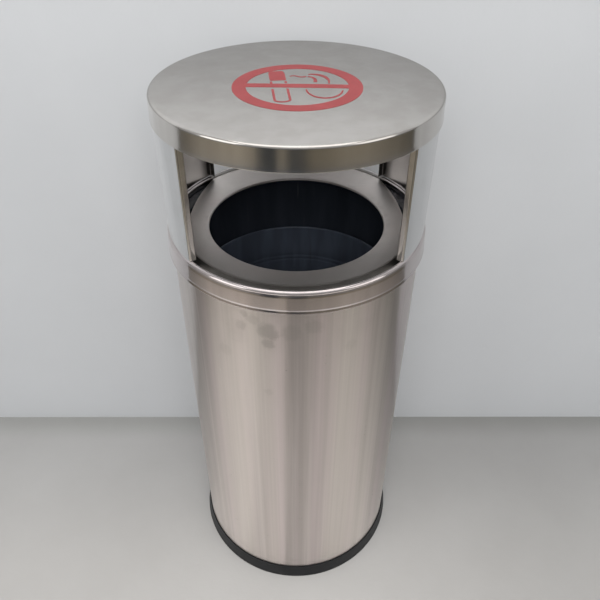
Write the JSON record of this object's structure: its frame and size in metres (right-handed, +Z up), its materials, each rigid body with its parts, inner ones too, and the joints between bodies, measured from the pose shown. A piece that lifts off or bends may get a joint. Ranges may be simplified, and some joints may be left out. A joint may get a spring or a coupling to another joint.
{
  "type": "litter bin",
  "caption": "Free-standing round stainless-steel litter bin with a windowed lift-off hood, a dished aperture plate and a lift-out black inner bucket.",
  "frame": {"origin": "on the floor, at the centre of the rubber base ring", "axes": "+Z up along the bin's centre line; the front window faces -Y and the rear window +Y; +X is to the right of someone facing the front"},
  "size_m": [0.3628, 0.3628, 0.8578],
  "materials": {
    "brushed_stainless": "brushed round the body, soft upright streaks of light",
    "polished_stainless": "bright polished stainless sheet",
    "cap_stainless": "near-mirror lid with a fine haze and a polished rim",
    "satin_stainless": "satin stainless sheet",
    "black_enamel": "glossy black enamel",
    "black_rubber": "matt black moulded rubber",
    "zinc_wire": "dull zinc-plated wire",
    "galvanised_sheet": "dull galvanised sheet",
    "red_vinyl": "satin printed film"
  },
  "bodies": {
    "bin_body": {"body_shell": "brushed_stainless", "plate_ledge": "black_enamel", "base_plate": "galvanised_sheet", "base_ring": "black_rubber"},
    "hood": {"collar_band": "polished_stainless", "left_panel": "polished_stainless", "right_panel": "polished_stainless", "top_cap": "cap_stainless", "no_smoking_sign": "red_vinyl"},
    "plate": {"aperture_plate": "satin_stainless"},
    "bucket": {"inner_bucket": "black_enamel", "bucket_bottom": "black_enamel", "rim_wire": "zinc_wire", "left_ear": "black_enamel", "right_ear": "black_enamel", "left_ear_rivet_front": "zinc_wire", "left_ear_rivet_rear": "zinc_wire", "right_ear_rivet_front": "zinc_wire", "right_ear_rivet_rear": "zinc_wire"},
    "handle": {"bucket_handle": "zinc_wire"}
  },
  "joints": [
    {"name": "head_lift", "type": "slide", "parent": "bin_body", "child": "hood", "axis": [0, 0, 1], "range_m": [0, 1.2]},
    {"name": "plate_lift", "type": "slide", "parent": "bin_body", "child": "plate", "axis": [0, 0, 1], "range_m": [0, 0.96]},
    {"name": "bucket_lift", "type": "slide", "parent": "bin_body", "child": "bucket", "axis": [0, 0, 1], "range_m": [0, 0.672]},
    {"name": "handle_swing", "type": "hinge", "parent": "bucket", "child": "handle", "pos_m": [0, 0, 0.5596], "axis": [-1, 0, 0], "range_deg": [0, 180]}
  ],
  "couplings": [
    {"joint": "plate_lift", "follows": "head_lift", "ratio": 0.8},
    {"joint": "bucket_lift", "follows": "head_lift", "ratio": 0.56}
  ]
}
